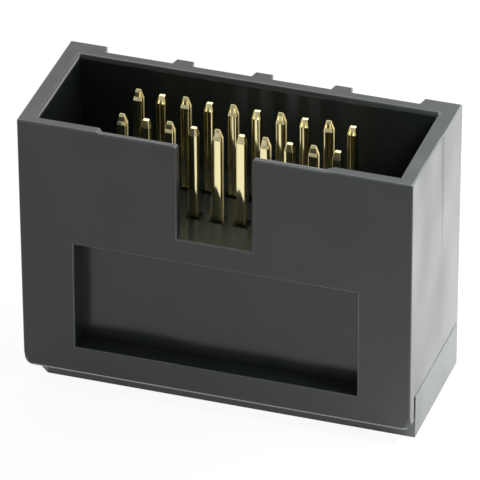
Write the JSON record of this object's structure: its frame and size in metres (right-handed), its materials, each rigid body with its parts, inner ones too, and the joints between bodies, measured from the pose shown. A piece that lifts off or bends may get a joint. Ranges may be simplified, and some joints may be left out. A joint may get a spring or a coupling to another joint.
{
  "type": "right-angle box header",
  "caption": "Black moulded right-angle box header for a circuit board: two rows of gold contacts in a keyed mating port, with a tail locator at the rear.",
  "frame": {"origin": "in the rear face that it stands on, under the middle of the contact field", "axes": "+X along the rows of contacts, +Y towards the circuit board, +Z out of the mating port"},
  "size_m": [0.021, 0.011, 0.0156],
  "materials": {
    "housing_plastic": "black glass-filled plastic, satin as moulded",
    "locator_plastic": "black glass-filled plastic, satin as moulded",
    "contact_gold": "gold plated copper alloy"
  },
  "bodies": {
    "root": {"housing": "housing_plastic", "tail_locator": "locator_plastic", "contact_front_1": "contact_gold", "contact_front_2": "contact_gold", "contact_front_3": "contact_gold", "contact_front_4": "contact_gold", "contact_front_5": "contact_gold", "contact_front_6": "contact_gold", "contact_front_7": "contact_gold", "contact_front_8": "contact_gold", "contact_front_9": "contact_gold", "contact_front_10": "contact_gold", "contact_back_1": "contact_gold", "contact_back_2": "contact_gold", "contact_back_3": "contact_gold", "contact_back_4": "contact_gold", "contact_back_5": "contact_gold", "contact_back_6": "contact_gold", "contact_back_7": "contact_gold", "contact_back_8": "contact_gold", "contact_back_9": "contact_gold", "contact_back_10": "contact_gold"}
  },
  "joints": []
}
